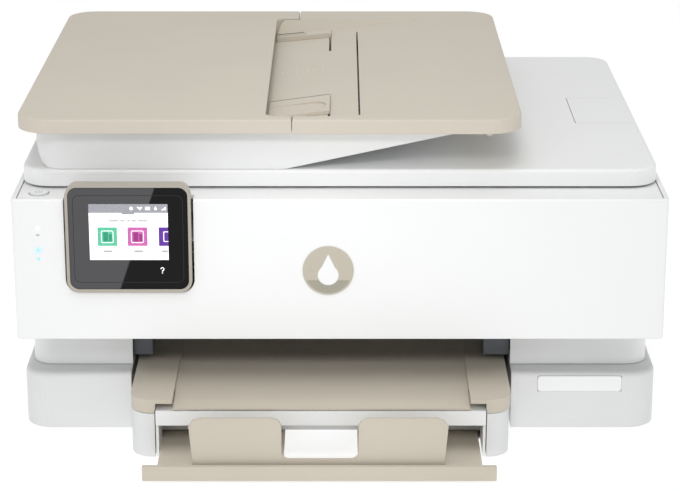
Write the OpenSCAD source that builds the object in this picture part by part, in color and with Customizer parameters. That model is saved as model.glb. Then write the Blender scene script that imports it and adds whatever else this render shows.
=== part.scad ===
/* [Body] */
// Overall width across the front panel
body_w = 460; // [440:1:480]
// Height of the top of the document feeder above the table
total_h = 234; // [232:0.5:236]
// Height of the top face of the scanner frame
scanner_top = 180.5; // [180:0.1:181]
// Lower edge of the lifting hood
hood_z = 77.5; // [77.2:0.1:78]
// Wall thickness of the outer mouldings
wall = 3; // [2.4:0.1:3.4]
// Corner radius of the base mouldings seen from above
base_r = 20; // [12:1:24]
// Corner radius of the scanner lid seen from above
lid_r = 21; // [12:1:26]
// Corner radius of the document feeder seen from above
adf_r = 24; // [12:1:28]

/* [Display] */
// Width of the tilting display
display_w = 88.1; // [80:0.1:92]
// Height of the tilting display
display_h = 78.3; // [70:0.1:80]

/* [Paper path] */
// Widest sheet that the paper tray takes
sheet_w = 216; // [210:1:216]
// How far the output extender stands out of the tray front
extender_out = 37; // [30:1:40]
// Radius of the feed roller's rubber
feed_r = 8; // [7:0.1:8]
// Radius of the output roller's rubber
output_r = 6; // [5:0.1:6]
// Radius of the rod that the print carriage runs on
rod_r = 4; // [3:0.5:4]

/* [Fits] */
// Radial clearance between a shaft and its bearing
run_gap = 0.05; // [0.02:0.01:0.1]
// Gap between two mouldings that slide past each other
slip = 0.5; // [0.4:0.1:0.8]

/* [Hidden] */
$fn = 48;
// The front panel's face lies at y = face_y
face_y = -152;
hw = body_w / 2;
white = [0.93, 0.94, 0.94];
beige = [0.80, 0.76, 0.70];
soft_grey = [0.80, 0.81, 0.81];
dark = [0.17, 0.17, 0.18];
black = [0.05, 0.05, 0.055];
steel = [0.72, 0.73, 0.74];
rubber = [0.11, 0.11, 0.11];
mx = -14.2;              // middle of the paper path
ch0 = -151; ch1 = 124;   // sides of the tray bay
tx0 = -146.6; tx1 = 118.2; // sides of the paper tray
hinge_y = 369; hinge_z = 84;   // hood hinge line
lidh_y = 375.5; lidh_z = 185;  // lid hinge line
feed_y = 262; feed_z = 62;     // feed roller
out_y = 150; out_z = 60;       // output roller
rod_y = 256; rod_z = 96;       // carriage rod
belt_y = 283; belt_z = 111;    // carriage belt
car_x = 172;                   // parked carriage
pick_py = 215; pick_pz = 54;   // pick arm pivot
pick_ry = 270; pick_rz = 21.4; // pick roller
cov_x = -221; cov_z = 228;     // feeder cover hinge line
dsp_y = 7; dsp_z = 176;        // display hinge line
dsp_x = -148.05;                // middle of the display
recess_x0 = -52.5; recess_x1 = 75;
ext_y0 = -38 - extender_out;   // back face of the extender's lip

// Everything is drawn with the front panel's face at y = 0 and moved once
module pf() { translate([0, face_y, 0]) children(); }
module bx(x0, x1, y0, y1, z0, z1) {
  translate([x0, y0, z0]) cube([x1 - x0, y1 - y0, z1 - z0]);
}
module cx(x0, x1, y, z, r) { translate([x0, y, z]) rotate([0, 90, 0]) cylinder(h = x1 - x0, r = r); }
module cy(y0, y1, x, z, r) { translate([x, y1, z]) rotate([90, 0, 0]) cylinder(h = y1 - y0, r = r); }
module cz(z0, z1, x, y, r) { translate([x, y, z0]) cylinder(h = z1 - z0, r = r); }
// Rounded rectangle; r holds the radii front-left, front-right, rear-right, rear-left
module rr(x0, x1, y0, y1, r) {
  a = r[0]; b = r[1]; c = r[2]; d = r[3];
  difference() {
    translate([x0, y0]) square([x1 - x0, y1 - y0]);
    corner(x0, y0, a, 1, 1);
    corner(x1, y0, b, -1, 1);
    corner(x1, y1, c, -1, -1);
    corner(x0, y1, d, 1, -1);
  }
}
module corner(x, y, r, sx, sy) {
  if (r > 0) difference() {
    translate([sx > 0 ? x - 1 : x - r, sy > 0 ? y - 1 : y - r]) square(r + 1);
    translate([x + sx * r, y + sy * r]) circle(r);
  }
}
// Upright prism on a rounded rectangle
module slab(x0, x1, y0, y1, z0, z1, r) {
  translate([0, 0, z0]) linear_extrude(z1 - z0) rr(x0, x1, y0, y1, r);
}
// The same with its top edge rounded by e
module soft_slab(x0, x1, y0, y1, z0, z1, r, e) {
  hull() for (a = [0:15:90]) {
    i = e * (1 - cos(a));
    slab(x0 + i, x1 - i, y0 + i, y1 - i, z0, z1 - e * (1 - sin(a)),
         [for (q = r) max(q - i, 0.1)], $fn = 32);
  }
}
// Profile in x and z, drawn from y0 to y1
module xz(y0, y1, pts) { translate([0, y1, 0]) rotate([90, 0, 0]) linear_extrude(y1 - y0) polygon(pts); }
// Profile in y and z, drawn from x0 to x1
module yz(x0, x1, pts) {
  translate([x0, 0, 0]) rotate([90, 0, 90]) linear_extrude(x1 - x0) polygon(pts);
}
// Involute gear on the z axis, one tooth centred on angle a0
function inv_pt(rb, t, s) = let (a = t * 180 / PI) [rb * (cos(a) + t * sin(a)), s * rb * (sin(a) - t * cos(a))];
function rot2(p, a) = [p[0] * cos(a) - p[1] * sin(a), p[0] * sin(a) + p[1] * cos(a)];
function tooth(n, m, back) =
  let (rp = n * m / 2, rb = rp * cos(20), ro = rp + m * 0.92, rf = rp - m * 1.25,
       tp = tan(20), half = 90 / n + (tan(20) * 180 / PI - 20) - back * 90 / (PI * rp),
       tmax = sqrt(ro * ro / (rb * rb) - 1), t0 = rf > rb ? sqrt(rf * rf / (rb * rb) - 1) : 0,
       k = [0, 0.35, 0.7, 1])
  concat([rot2([rf, 0], -half - 0.4)],
         [for (q = k) rot2(inv_pt(rb, t0 + (tmax - t0) * q, 1), -half)],
         [for (q = [3:-1:0]) rot2(inv_pt(rb, t0 + (tmax - t0) * k[q], -1), half)],
         [rot2([rf, 0], half + 0.4)]);
module gear2(n, m, a0, back) {
  polygon([for (i = [0:n - 1]) for (p = tooth(n, m, back)) rot2(p, a0 + i * 360 / n)]);
}

// ---------- base and chassis ----------
module base_housing() pf() color(white) difference() {
  union() {
    difference() {
      soft_slab(-229.4, 229.4, 16, 382, 3, 45.5, [base_r, base_r, 12, 12], 4);
      slab(-229.4 + wall, 229.4 - wall, 16 + wall, 382 - wall, 5.5, 42.8, [17, 17, 9, 9]);
      slab(-216, 216, 42, 370, 40, 50, [8, 8, 8, 8]);
    }
    bx(ch0 - wall, ch0, 17, 321, 4, 42.9);
    bx(ch1, ch1 + wall, 17, 321, 4, 42.9);
    bx(ch0 - wall, ch1 + wall, 318, 321, 4, 42.9);
    // runners that carry the paper tray
    bx(ch0 - 1, ch0 + 3.6, 60, 316, 20, 24);
    bx(ch1 - 5, ch1 + 1, 60, 316, 20, 24);
  }
  difference() {
    bx(ch0, ch1, 0, 318, -1, 60);
    bx(ch0 - 1, ch0 + 3.6, 60, 316, 20, 24);
    bx(ch1 - 5, ch1 + 1, 60, 316, 20, 24);
  }
  bx(143, 204, 10, 17, 31, 43);
  bx(-196, -164, 370, 390, 12, 32);
  bx(148, 164, 370, 390, 10, 20);
  for (i = [0:5]) bx(60 + i * 9, 64 + i * 9, 370, 390, 14, 34);
}
module body_shell() pf() color(white) difference() {
  slab(-224.2, 224.2, 33, 376, 45.9, 77, [15, 15, 12, 12]);
  slab(-221.2, 221.2, 36, 373, 40, 80, [12, 12, 9, 9]);
  bx(ch0, ch1, 30, 60, 40, 80);
  bx(-230, 230, 362, 380, 72, 80);
}
module label_plate() pf() color(soft_grey) slab2(143.1, 203.9, 31.1, 42.9, 15.6, 17, 2.5);
module slab2(x0, x1, z0, z1, y0, y1, r) {
  translate([0, y1, 0]) rotate([90, 0, 0]) linear_extrude(y1 - y0) rr(x0, x1, z0, z1, [r, r, r, r]);
}
module rubber_feet() pf() color(rubber)
  for (x = [-200, 200]) for (y = [46, 350]) cz(0, 3, x, y, 9);

module chassis_frame() pf() color(dark) difference() {
  union() {
    // deck either side of and behind the paper path
    bx(-218, ch0 - 0.5, 64, 368, 46.2, 48.7);
    bx(ch1 + 0.5, 218, 64, 368, 46.2, 48.7);
    bx(-218, 218, 300, 368, 46.2, 48.7);
    // side plates that hold the carriage rod
    bx(-215, -212, 140, 310, 48.7, 128);
    bx(212, 215, 140, 310, 48.7, 128);
    // roller brackets
    bx(-156, -153, 110, 310, 48.7, 73);
    bx(128, 131, 110, 310, 48.7, 73);
    bx(-156, -153, 257, 267, 72, 78);
    bx(128, 131, 257, 267, 72, 78);
    bx(-156, -153, 146, 154, 72, 78);
    bx(128, 131, 146, 154, 72, 78);
    // rear paper guide
    bx(-153, 128, 305, 308, 48.7, 74);
    // blocks and ceiling of the output opening
    bx(-150.6, -137, 40, 64, 50.5, 77);
    bx(105, 123.6, 40, 64, 50.5, 77);
    bx(-150.6, 123.6, 52, 64, 70, 77);
    bx(-157, -150.5, 60, 110, 46.2, 77);
    bx(123.5, 131, 60, 110, 46.2, 77);
    bx(-126, -118, 46, 54, 62, 76);
    bx(88, 96, 46, 54, 62, 76);
    // hood hinge lugs and their pins
    for (s = [-1, 1]) {
      bx(s * 205 - 3, s * 205 + 3, 358, 367, 48.7, 80);
      hull() { cx(s * 205 - 3, s * 205 + 3, hinge_y, hinge_z, 5, $fn = 32); bx(s * 205 - 3, s * 205 + 3, 358, 364, 74, 78); }
      cx(s * 205 - 12, s * 205 + 12, hinge_y, hinge_z, 2.5);
    }
    // idler bracket and motor plates
    bx(192, 212.5, belt_y - 8, belt_y + 8, 101, 104);
    cz(103.9, 115, 198, belt_y, 1.5);
    bx(-184.5, -182, 262, 298, 48.7, 78);
    bx(-212, -184.5, 270, 298, 74.6, 77.2);
  }
  cx(-160, 140, feed_y, feed_z, 4 + run_gap);
  cx(-160, 140, out_y, out_z, 3 + run_gap);
  cx(-160, 140, pick_py, pick_pz, 3 + run_gap);
  cx(-160, 140, feed_y, feed_z + feed_r + 3.8, 1.5 + run_gap);
  cx(-160, 140, out_y, out_z + output_r + 5.3, 1 + run_gap);
  cx(-190, -180, feed_y + 17, feed_z, 4.03);
  // room for the cartridges' noses
  bx(-160, 135, 188, 224, 69.8, 79);
  cx(-220, 220, rod_y, rod_z, rod_r + run_gap);
}
module carriage_rails() pf() color(steel) {
  cx(-218, 218, rod_y, rod_z, rod_r);
  bx(-211.9, 211.9, 298, 300, 73, 118);
  bx(-211.9, 211.9, 290, 300.001, 118, 120);
}
module platen() pf() color(dark) {
  bx(-150, 125, 166, 210, 57, 60);
  bx(-150, 125, 224, 250, 57, 60);
  for (x = [-145:18:120]) { bx(x, x + 2, 166, 210, 60, 66); bx(x, x + 2, 224, 250, 60, 66); }
  bx(-152.9, -150, 166, 210, 57, 60); bx(125, 127.9, 166, 210, 57, 60);
  bx(-152.9, -150, 224, 250, 57, 60); bx(125, 127.9, 224, 250, 57, 60);
}
module exit_bracket() pf() color(dark) {
  bx(-152.9, 127.9, 136, 140, 66, 76);
  for (x = [-141, 112]) difference() {
    bx(x, x + 4, 140, 153, 66.5, 75);
    cx(x - 1, x + 5, out_y, out_z + output_r + 5.3, 1 + run_gap);
  }
}
module service_station() pf() color(dark) {
  difference() {
    bx(136, 208, 158, 244, 48.7, 64);
    bx(139, 205, 161, 241, 52, 70);
  }
  for (x = [154, 190]) difference() {
    slab(x - 13, x + 13, 190, 222, 51, 69.4, [3, 3, 3, 3]);
    slab(x - 10, x + 10, 193, 219, 66, 70, [2, 2, 2, 2]);
  }
  bx(150, 152, 165, 180, 51, 69.2);
  bx(188, 190, 165, 180, 51, 69.2);
}
module feed_motor() pf() color(steel) {
  cx(-209, -184.5, feed_y + 17, feed_z, 12);
  cx(-184.5, -182, feed_y + 17, feed_z, 4);
  cx(-182, -165, feed_y + 17, feed_z, 1);
}
module carriage_motor() pf() color(steel) {
  cz(77.2, 105, -198, belt_y, 12);
  cz(105, 115, -198, belt_y, 1);
}
module power_supply() pf() color(dark) difference() {
  slab(-217, -160, 120, 340, 5.5, 40, [3, 3, 3, 3]);
  for (y = [140:12:320]) bx(-210, -167, y, y + 5, 38.5, 41);
}
module main_board() pf() {
  color([0.10, 0.36, 0.20]) bx(134, 216, 130, 366, 9, 10.6);
  color(steel) for (x = [140, 210]) for (y = [136, 360]) cz(5.5, 9, x, y, 2.5);
  color(black) { bx(160, 188, 200, 228, 10.6, 13); bx(150, 166, 260, 272, 10.6, 12.4); bx(176, 200, 280, 296, 10.6, 12.4); }
  color(steel) difference() { bx(148.5, 163.5, 364, 381, 10.6, 19.4); bx(151, 161, 372, 382, 12.6, 17.6); }
}
module power_inlet() pf() color(black) difference() {
  union() { bx(-195.5, -164.5, 360, 381.5, 12.5, 31.5); bx(-185, -175, 340, 361, 16, 28); }
  hull() { cy(368, 383, -184, 22, 4.2); cy(368, 383, -176, 22, 4.2); }
}
module loop2(x0, x1, r0, r1, t) difference() {
  hull() { translate([x0, 0]) circle(r0 + t); translate([x1, 0]) circle(r1 + t); }
  hull() { translate([x0, 0]) circle(r0); translate([x1, 0]) circle(r1); }
}
module transfer_belt() pf() color(rubber)
  translate([-178, out_y, out_z]) rotate([atan2(feed_z - out_z, feed_y - out_y), 0, 0])
    rotate([90, 0, 90]) linear_extrude(4) loop2(0, norm([feed_y - out_y, feed_z - out_z]), 6.35, 8.35, 0.9);
module carriage_belt() pf() color(rubber)
  translate([0, belt_y, 108.4]) linear_extrude(4.4) loop2(-198, 198, 6.35, 6.35, 0.9);

// ---------- moving print mechanism ----------
module carriage() pf() color(dark) difference() {
  union() {
    bx(car_x - 38, car_x + 38, 160, 246, 74, 116);
    for (x = [-17.5, 17.5]) bx(car_x + x - 10, car_x + x + 10, 192, 220, 71.5, 74.001);
    bx(car_x - 32, car_x + 32, 246, 265, 88, 104);
    bx(car_x - 8, car_x + 8, 264.9, 278.4, 100, 114);
    for (x = [-17.5, 17.5]) {
      for (d = [-16, 13.9]) bx(car_x + x + d, car_x + x + d + 2.1, 154.6, 160.5, 84.8, 90.6);
      cx(car_x + x - 15, car_x + x + 15, 156.5, 88, 1);
    }
  }
  for (x = [-17.5, 17.5]) bx(car_x + x - 15.9, car_x + x + 15.9, 164, 240, 77, 120);
  for (x = [-17.5, 17.5]) bx(car_x + x - 8, car_x + x + 8, 194, 218, 70, 80);
  cx(car_x - 40, car_x + 40, rod_y, rod_z, rod_r + run_gap);
  bx(car_x - 34, car_x + 34, 159.5, 162, 92, 120);
  // jaws that hold the belt's front run
  bx(car_x - 9, car_x + 9, 275.6, 276.8, 108.2, 115);
}
module cartridge(x) {
  bx(x - 15.4, x + 15.4, 168, 239.4, 77, 113);
  bx(x - 7.5, x + 7.5, 195, 217, 70.4, 77.001);
  bx(x - 12, x + 12, 166, 168.001, 84, 100);
}
module black_cartridge() pf() color(black) cartridge(car_x + 17.5);
module colour_cartridge() pf() color([0.16, 0.17, 0.2]) cartridge(car_x - 17.5);
// Latch: a lever over the cartridge, hinged at its foot
module black_latch() pf() color(soft_grey) latch(car_x + 17.5);
module colour_latch() pf() color(soft_grey) latch(car_x - 17.5);
module latch(x) difference() {
  union() {
    cx(x - 13.5, x + 13.5, 156.5, 88, 2);
    bx(x - 13.5, x + 13.5, 155.2, 157.6, 88, 119);
    bx(x - 13.5, x + 13.5, 155.2, 172, 116.6, 119);
  }
  cx(x - 14, x + 14, 156.5, 88, 1 + run_gap);
}
module motor_pulley() pf() color(soft_grey) difference() {
  union() { cz(108.6, 112.6, -198, belt_y, 6); cz(106.4, 107.9, -198, belt_y, 7.6); cz(107.9, 108.7, -198, belt_y, 4); cz(112.5, 113.3, -198, belt_y, 4); cz(113.3, 114.6, -198, belt_y, 7.6); }
  cz(100, 120, -198, belt_y, 1 + run_gap);
}
module idler_pulley() pf() color(soft_grey) difference() {
  union() { cz(108.6, 112.6, 198, belt_y, 6); cz(106.4, 107.9, 198, belt_y, 7.6); cz(107.9, 108.7, 198, belt_y, 4); cz(112.5, 113.3, 198, belt_y, 4); cz(113.3, 114.6, 198, belt_y, 7.6); }
  cz(100, 120, 198, belt_y, 1.5 + run_gap);
}
module feed_pinion() pf() color(beige) translate([-171.8, feed_y + 17, feed_z]) rotate([90, 0, 90])
  difference() { linear_extrude(4.6) gear2(10, 1, 180 - 18, 0.16); translate([0, 0, -1]) cylinder(h = 8, r = 1 + run_gap); }
module feed_gear() pf() color(white) {
  translate([-172, feed_y, feed_z]) rotate([90, 0, 90]) linear_extrude(5) difference() { gear2(24, 1, 0, 0.16); circle(4.02); }
  difference() { union() { cx(-178.2, -173.8, feed_y, feed_z, 8); cx(-173.8, -172, feed_y, feed_z, 6); }
    cx(-180, -170, feed_y, feed_z, 4.02); }
}
module feed_roller() pf() {
  color(steel) cx(-178.4, 133, feed_y, feed_z, 4);
  color(rubber) for (x = [-118, -55, 8, 66]) cx(x, x + 30, feed_y, feed_z, feed_r);
}
module output_roller() pf() {
  color(steel) cx(-178.4, 133, out_y, out_z, 3);
  color(rubber) for (x = [-120:40:90]) cx(x, x + 12, out_y, out_z, output_r);
  color(white) cx(-178.2, -173.8, out_y, out_z, 6);
}
module pinch_rollers() pf() {
  color(steel) cx(-157, 132, feed_y, feed_z + feed_r + 3.8, 1.5);
  color(white) for (x = [-116, -53, 10, 68]) cx(x, x + 26, feed_y, feed_z + feed_r + 3.8, 3.4);
}
module star_wheels() pf() color(steel) {
  cx(-157, 132, out_y, out_z + output_r + 5.3, 1);
  for (x = [-114:40:96]) translate([x - 0.4, out_y, out_z + output_r + 5.3]) rotate([90, 0, 90])
    linear_extrude(0.8) polygon([for (i = [0:31]) let (q = i % 2 == 0 ? 4.9 : 4.1) [q * cos(i * 11.25), q * sin(i * 11.25)]]);
}
module pick_arm() pf() color(dark) {
  cx(-157, 132, pick_py, pick_pz, 3);
  difference() {
    union() for (x = [-26, 2]) hull() {
      cx(x, x + 4, pick_py, pick_pz, 4.6, $fn = 32);
      cx(x, x + 4, pick_ry, pick_rz, 5.5, $fn = 32);
    }
    cx(-40, 10, pick_ry, pick_rz, 2.5 + run_gap);
  }
  bx(-22.001, 2.001, pick_py + 6, pick_py + 14, 44, 50);
}
module pick_roller() pf() {
  color(steel) cx(-28, 8, pick_ry, pick_rz, 2.5);
  color(rubber) cx(-21.4, 1.4, pick_ry, pick_rz, 10);
}

// ---------- paper tray ----------
module paper_tray() pf() color(white) difference() {
  union() {
    bx(tx0, tx1, -2, 310, 8.5, 10.5);
    bx(tx0, tx0 + wall, -6, 310, 3, 33);
    bx(tx1 - wall, tx1, -6, 310, 3, 33);
    bx(tx0, tx1, -2, 0.5, 8.6, 33);
    bx(tx0, -50, 307.5, 310, 8.6, 33);
    bx(22, tx1, 307.5, 310, 8.6, 33);
    // side lips that ride on the runners
    bx(ch0 + 0.6, tx0 + 1, 40, 310, 24.5, 27);
    bx(tx1 - 1, ch1 - 0.6, 40, 310, 24.5, 27);
    // rails under the extender's edges
    bx(tx0 + 1, -115, -6, 290, 3, 4);
    bx(87, tx1 - 1, -6, 290, 3, 4);
    // corner posts of the tray front
    slab(-147.4, -130.2, -38, -5, 3, 35.6, [15.5, 0, 0, 0]);
    slab(103.2, 119.6, -38, -5, 3, 35.6, [0, 15.5, 0, 0]);
  }
  // channels for the width guides' bars
  bx(-126, 98, 99.5, 108.5, 9.3, 11);
  bx(-126, 98, 111.5, 120.5, 9.3, 11);
}
module tray_front() pf() color(white) difference() {
  union() {
    bx(-129.6, 102.6, -38, -6, 26.6, 37.6);
    bx(-129.6, -127.6, -37, -6, 3, 27);
    bx(100.6, 102.6, -37, -6, 3, 27);
  }
  bx(-127, 100, -35.5, -5, 25, 35.2);
}
module output_bed() pf() color(beige) difference() {
  union() {
    slab(-147.7, 120.6, -38, 112, 38.2, 46.2, [16, 16, 2, 2]);
    slab(-147.7, -130.2, -38, 112, 36, 38.3, [15.8, 0, 0, 0]);
    slab(103.2, 120.6, -38, 112, 36, 38.3, [0, 15.8, 0, 0]);
    bx(-147.5, -130.2, 0, 112, 33.4, 38.3);
    bx(103.2, 120.4, 0, 112, 33.4, 38.3);
  }
  // the front edge is thin either side of the middle
  bx(-129.7, -117.4, -39, -8, 36, 43);
  bx(91.4, 102.7, -39, -8, 36, 43);
  // sloping valley that the sheets settle in
  yz(-117.5, 91.5, [[-60, 39.4], [-38, 39.4], [-24, 41], [40, 44.4], [130, 45], [130, 60], [-60, 60]]);
}
module width_guide(s) {
  x = mx + s * (sheet_w / 2 + 0.5);
  bx(min(x, x + s * 2.2), max(x, x + s * 2.2), 60, 240, 11, 32);
  bx(min(x, x + s * 7), max(x, x + s * 7), 70, 230, 11, 12.5);
  y = s < 0 ? 100 : 112;
  bx(min(x + s * 2, x - s * 92), max(x + s * 2, x - s * 92), y, y + 8, 9.6, 10.4);
  bx(min(x, x + s * 2.2), max(x, x + s * 2.2), y, y + 8, 9.6, 11.1);
}
module width_guide_left() pf() color(beige) width_guide(-1);
module width_guide_right() pf() color(beige) width_guide(1);
module length_guide() pf() color(beige) {
  bx(mx - 24, mx + 24, 3, 5.4, 11, 32);
  bx(mx - 16, mx + 16, 5.3, 26, 11, 12.4);
}
module output_extender() pf() color(beige) difference() {
  union() {
    difference() {
      slab(-127, 99, ext_y0 + 1, 80, 4.5, 7.2, [2, 2, 4, 4]);
      slab(-39.5, 12.5, ext_y0 + 14, 90, 0, 10, [5, 5, 0, 0]);
    }
    slab2(-136.5, 108, 2, 12.6, ext_y0 - 3, ext_y0 + 0.2, 0.7);
    for (x = [-108, 75.2]) {
      bx(x, x + 3.2, ext_y0, ext_y0 + 8, 7, 9);
      cx(x, x + 3.2, ext_y0 + 4.2, 9.4, 2.1);
    }
  }
  cx(-109, 80, ext_y0 + 4.2, 9.4, 1.2 + run_gap);
}
module output_stop() pf() color(beige) {
  y = ext_y0 + 4.2;
  cx(-108, 78.4, y, 9.4, 1.2);
  cx(-102, 72.4, y, 9.4, 2);
  translate([0, y + 0.6, 0]) rotate([90, 0, 0]) linear_extrude(2) difference() {
    polygon([[-101.6, 9.4], [72, 9.4], [74.6, 40], [71.5, 44.2], [67, 46], [-96.6, 46], [-101.7, 44.2], [-104.2, 40]]);
    polygon(concat([for (a = [90:-15:0]) [-47.3 + 7 * cos(a), 39 + 7.01 * sin(a)]], [for (a = [180:15:270]) [-35.3 + 5 * cos(a), 21 + 5 * sin(a)]],
      [for (a = [270:15:360]) [7.7 + 5 * cos(a), 21 + 5 * sin(a)]], [for (a = [180:-15:90]) [19.7 + 7 * cos(a), 39 + 7.01 * sin(a)]], [[19.7, 50], [-47.3, 50]]));
  }
}

// ---------- hood: front panel and scanner ----------
dx0 = dsp_x - display_w / 2; dx1 = dsp_x + display_w / 2;
dz1 = 192.2; dz0 = dz1 - display_h;
module front_panel() pf() color(white) difference() {
  translate([0, 0, hood_z]) linear_extrude(181 - hood_z) difference() {
    rr(-hw, hw, 0, 378, [2.5, 2.5, 3, 3]);
    rr(-hw + 3.2, hw - 3.2, 3, 390, [1, 1, 0, 0]);
  }
  // bevel along the top edge
  yz(-240, 240, [[-1, 179.6], [0, 179.6], [1.4, 181], [1.4, 182], [-1, 182]]);
  // notch for the display, open at the top
  slab2(dx0 - 1.4, dx1 + 1.4, dz0 - 1.4, 230, -5, 5, 9.5);
  for (z = [160, 143.8]) cy(-5, 5, -212, z, 1.3);
  cz(170, 190, -212.3, 17, 7.4);
}
module scanner_housing() pf() color(soft_grey) difference() {
  union() {
    difference() {
      bx(-226.2, 226.2, 3.4, 378, 146, 180.5);
      bx(-223.4, 223.4, 6, 375, 148.5, 177.5);
    }
    // skirt that stiffens the hood all round
    difference() {
      bx(-226.2, 226.2, 3.4, 378, 100, 146.1);
      bx(-223.4, 223.4, 6, 375, 90, 150);
    }
    bx(-226.2, 226.2, 375, 378, hood_z, 101);
    // hinge lugs
    for (s = [-1, 1]) for (d = [-8, 8]) difference() {
      union() { cx(s * 205 + d - 3, s * 205 + d + 3, hinge_y, hinge_z, 5.4); bx(s * 205 + d - 3, s * 205 + d + 3, hinge_y, 376, hinge_z - 5.4, hinge_z + 12); }
      cx(s * 205 - 20, s * 205 + 20, hinge_y, hinge_z, 2.5 + run_gap);
    }
    // posts and knuckles for the lid
    for (s = [-1, 1]) bx(s * 150 - 8, s * 150 + 8, 373.2, 377.8, 178, lidh_z);
    for (s = [-1, 1]) cx(s * 150 - 8, s * 150 + 8, lidh_y, lidh_z, 2.3);
    // end bearings of the scan rod
    bx(-223.5, -214, 36, 48, 156, 168);
    bx(214, 223.5, 36, 48, 156, 168);
    // bearings of the display's hinge
    for (x = [dx0 + 3, dx1 - 7]) { bx(x, x + 4, 4, 18, 170, 178.2); bx(x, x + 4, 12.4, 18, 170, 180.5); }
    // guide of the power button
    cz(168, 178, -212.3, 17, 10);
  }
  // windows above the glass
  bx(-176, 136, 62, 290, 170, 190);
  bx(-206, -190, 62, 290, 170, 190);
  // recess for the display
  difference() {
    bx(dx0 - 1.4, dx1 + 1.4, 0, 13.8, dz0 - 1.4, 190);
    for (x = [dx0 + 3, dx1 - 7]) { bx(x, x + 4, 4, 14, 170, 178.2); bx(x, x + 4, 12.4, 14, 170, 181); }
  }
  cx(dx0, dx1, dsp_y, dsp_z, 1.5 + run_gap);
  for (s = [-1, 1]) cx(s * 150 - 10, s * 150 + 10, lidh_y, lidh_z, 1.2 + run_gap);
  cx(-230, 230, 42, 162, 3);
  for (z = [160, 143.8]) cy(0, 10, -212, z, 1.3);
  cz(160, 190, -212.3, 17, 7);
}
module badge() pf() color(beige) cy(-0.7, 0, -8.3, 128.9, 18);
module status_lights() pf() color([0.6, 0.8, 1]) for (z = [160, 143.8]) cy(-0.05, 8, -212, z, 1.2);
module scanner_glass() pf() color([0.7, 0.85, 0.85, 0.4]) {
  bx(-181, 140, 57, 295, 174.4, 177.4);
  bx(-211, -185, 57, 295, 174.4, 177.4);
}
module scan_rod() pf() color(steel) cx(-223.4, 223.4, 42, 162, 3);
module scan_bar() pf() color(dark) difference() {
  union() {
    bx(-186, -160, 50, 300, 152, 172);
    bx(-184, -162, 32, 51, 155, 169);
  }
  cx(-190, -150, 42, 162, 3 + run_gap);
  bx(-180, -166, 66, 286, 160, 173);
}
module display_bezel() pf() color(beige) difference() {
  union() {
    slab2(dx0, dx1, dz0, dz1, -4, 3, 8.5);
    intersection() {
      slab2(dx0, dx1, dz0, dz1, -4, 7.4, 8.5);
      slab(dx0 + 1, dx1 - 1, -3.9, 7.4, 183, dz1 + 1, [1, 1, 5, 5]);
    }
    for (x = [dx0 + 7.6, dx1 - 19.6]) bx(x, x + 12, 2, 10.4, 172.5, 186);
    cx(dx0 + 1, dx0 + 12, dsp_y, dsp_z, 1.5);
    cx(dx1 - 12, dx1 - 1, dsp_y, dsp_z, 1.5);
  }
  slab2(dx0 + 2.2, dx1 - 2.2, dz0 + 2.2, dz1 - 1.4, -6, 0.4, 6.5);
}
module display_glass() pf() color(black) slab2(dx0 + 2.3, dx1 - 2.3, dz0 + 2.3, dz1 - 1.5, -3.6, 0.4, 6.4);
module power_button() pf() color(white) {
  cz(172, 181.6, -212.3, 17, 6.6);
  cz(163.4, 172.01, -212.3, 17, 4);
}

// ---------- lid ----------
module lid() pf() color(white) difference() {
  soft_slab(-226.7, 226.7, 28.5, 378, 182.3, 194.5, [lid_r, lid_r, 18, 18], 2.6);
  slab(-223.7, 223.7, 31.5, 375, 180, 191, [18, 18, 15, 15]);
  // seats of the folding flap
  difference() {
    bx(179.2, 230, 156.6, 234.4, 188.4, 196);
    bx(179, 221.4, 150, 240, 180, 191);
  }
  // notches for the hinge posts
  for (s = [-1, 1]) bx(s * 150 - 8.5, s * 150 + 8.5, 366, 380, 180, 191.4);
  for (s = [-1, 1]) cx(s * 150 - 12, s * 150 + 12, lidh_y, lidh_z, 1.2);
  cy(154, 237, 224.2, 192, 0.8 + run_gap);
}
module lid_hinge_pins() pf() color(steel)
  for (s = [-1, 1]) cx(s * 150 - 11.5, s * 150 + 11.5, lidh_y, lidh_z, 1.2);
module platen_pad() pf() color([0.97, 0.97, 0.97]) {
  slab(-178, 138, 60, 292, 181.1, 191, [3, 3, 3, 3]);
  slab(-208, -188, 60, 292, 181.1, 191, [2, 2, 2, 2]);
}
module lid_flap() pf() color(white) {
  bx(179.7, 224.2, 157, 234, 191.5, 194.5);
  cy(157, 234, 224.2, 192, 2.5);
  cy(154.6, 236.4, 224.2, 192, 0.8);
}

// ---------- document feeder ----------
module adf_plan() rr(-217, 140, 30, 374, [22, 2, 2, 20]);
module adf_housing() pf() color(white) difference() {
  union() {
    intersection() {
      difference() {
        xz(30, 374, [[-207, 194.6], [-211.5, 197.5], [-214.6, 203], [-216.4, 211], [-217, 218], [-217, 223.3], [94, 223.3], [-39, 194.6]]);
        intersection() {
          xz(33, 371, [[-204, 197], [-210, 200.5], [-213, 208], [-214, 218], [-214, 230], [76, 230], [76, 222], [-41, 197]]);
          translate([0, 0, 190]) linear_extrude(60) rr(-214.5, 80, 33, 371, [19.5, 0.1, 0.1, 17.5]);
        }
      }
      translate([0, 0, 190]) linear_extrude(50) adf_plan();
    }
    // ribs that carry the rollers and the guides' track
    for (y = [165, 231]) bx(-125, -50, y, y + 4, 196, 218.6);
    bx(-57.4, -55, 33, 371, 196, 217);
    bx(-207, -204, 60, 344, 196, 214);
    // lugs for the cover
    for (y = [40, 357]) hull() {
      cy(y, y + 4, cov_x, cov_z, 3, $fn = 32);
      bx(-217, -210, y, y + 4, 221.6, 223.3);
    }
  }
  cy(150, 250, -66, 215, 2 + run_gap);
  cy(150, 250, -100, 213, 2.5 + run_gap);
  cy(30, 380, cov_x, cov_z, 1.5 + run_gap);
}
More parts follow.
